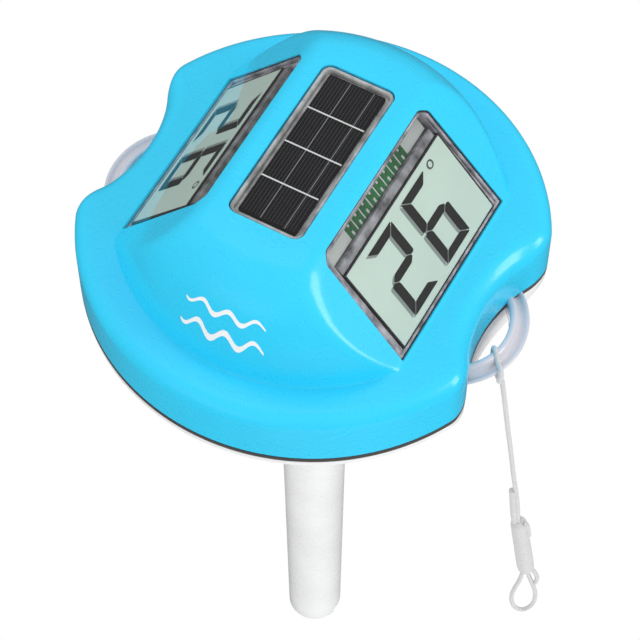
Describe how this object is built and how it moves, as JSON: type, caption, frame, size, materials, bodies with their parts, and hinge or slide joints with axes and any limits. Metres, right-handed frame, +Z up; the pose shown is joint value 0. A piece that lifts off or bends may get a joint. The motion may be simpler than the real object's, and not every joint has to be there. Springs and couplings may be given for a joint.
{
  "type": "floating pool thermometer",
  "caption": "Round floating pool thermometer with two sloping displays, a solar panel, a weighted sensor tube below and a tether cord.",
  "frame": {"origin": "on the axis of the float, at the lower edge of its cover, which is its waterline", "axes": "+Z up along the axis of the float and its sensor tube, +X towards the right-hand display, -Y towards the plain front slope"},
  "size_m": [0.1448, 0.1296, 0.2703],
  "materials": {
    "cover_blue": "gloss",
    "hull_white": "gloss",
    "gasket_grey": "matt",
    "clear_window": "gloss",
    "lcd_glass": "gloss",
    "holder_white": "satin",
    "board_green": "satin",
    "solar_black": "gloss",
    "chip_black": "matt",
    "rubber_black": "matt",
    "steel": "satin",
    "wire_white": "matt",
    "cord_white": "braided"
  },
  "bodies": {
    "float": {"top_cover": "cover_blue", "lower_hull": "hull_white", "hull_gasket": "gasket_grey", "solar_window": "clear_window", "solar_panel": "solar_black", "panel_tray": "holder_white", "main_board": "board_green", "controller_chip": "chip_black", "battery_holder": "chip_black", "coin_cell": "steel", "unit_switch": "chip_black", "button_seal": "rubber_black", "solar_lead": "wire_white", "stem_gland": "rubber_black", "sensor_stem": "wire_white", "sensor_capsule": "steel", "sensor_lead": "wire_white", "tether_hitch": "cord_white", "tether_cord": "cord_white", "tether_sleeve": "cord_white", "tether_end_loop": "cord_white", "display_window_right": "clear_window", "lcd_glass_right": "lcd_glass", "display_holder_right": "holder_white", "display_connector_right": "holder_white", "display_board_right": "board_green", "tether_loop_right": "hull_white", "display_cable_right": "wire_white", "display_window_left": "clear_window", "lcd_glass_left": "lcd_glass", "display_holder_left": "holder_white", "display_connector_left": "holder_white", "display_board_left": "board_green", "tether_loop_left": "hull_white", "display_cable_left": "wire_white", "hull_screw_1": "steel", "hull_screw_2": "steel", "hull_screw_3": "steel", "hull_screw_4": "steel", "board_screw_1": "steel", "board_screw_2": "steel", "board_screw_3": "steel", "board_screw_4": "steel"},
    "seal_ring": {"tube_seal": "rubber_black"},
    "probe_tube": {"sensor_tube": "hull_white", "ballast_weight": "steel"},
    "button": {"unit_button": "gasket_grey"}
  },
  "joints": [
    {"name": "tube_draw", "type": "slide", "parent": "float", "child": "seal_ring", "axis": [0, 0, -1], "range_m": [0, 0.006]},
    {"name": "tube_turn", "type": "hinge", "parent": "seal_ring", "child": "probe_tube", "pos_m": [0, 0, -0.0267], "axis": [0, 0, 1], "range_deg": [0, 720]},
    {"name": "unit_button_press", "type": "slide", "parent": "float", "child": "button", "axis": [0, 0, 1], "range_m": [0, 0.0012], "stiffness_N_per_m": 400, "springref_m": -0.001}
  ],
  "couplings": [
    {"joint": "tube_turn", "follows": "tube_draw", "rad_per_m": 2094.4}
  ]
}
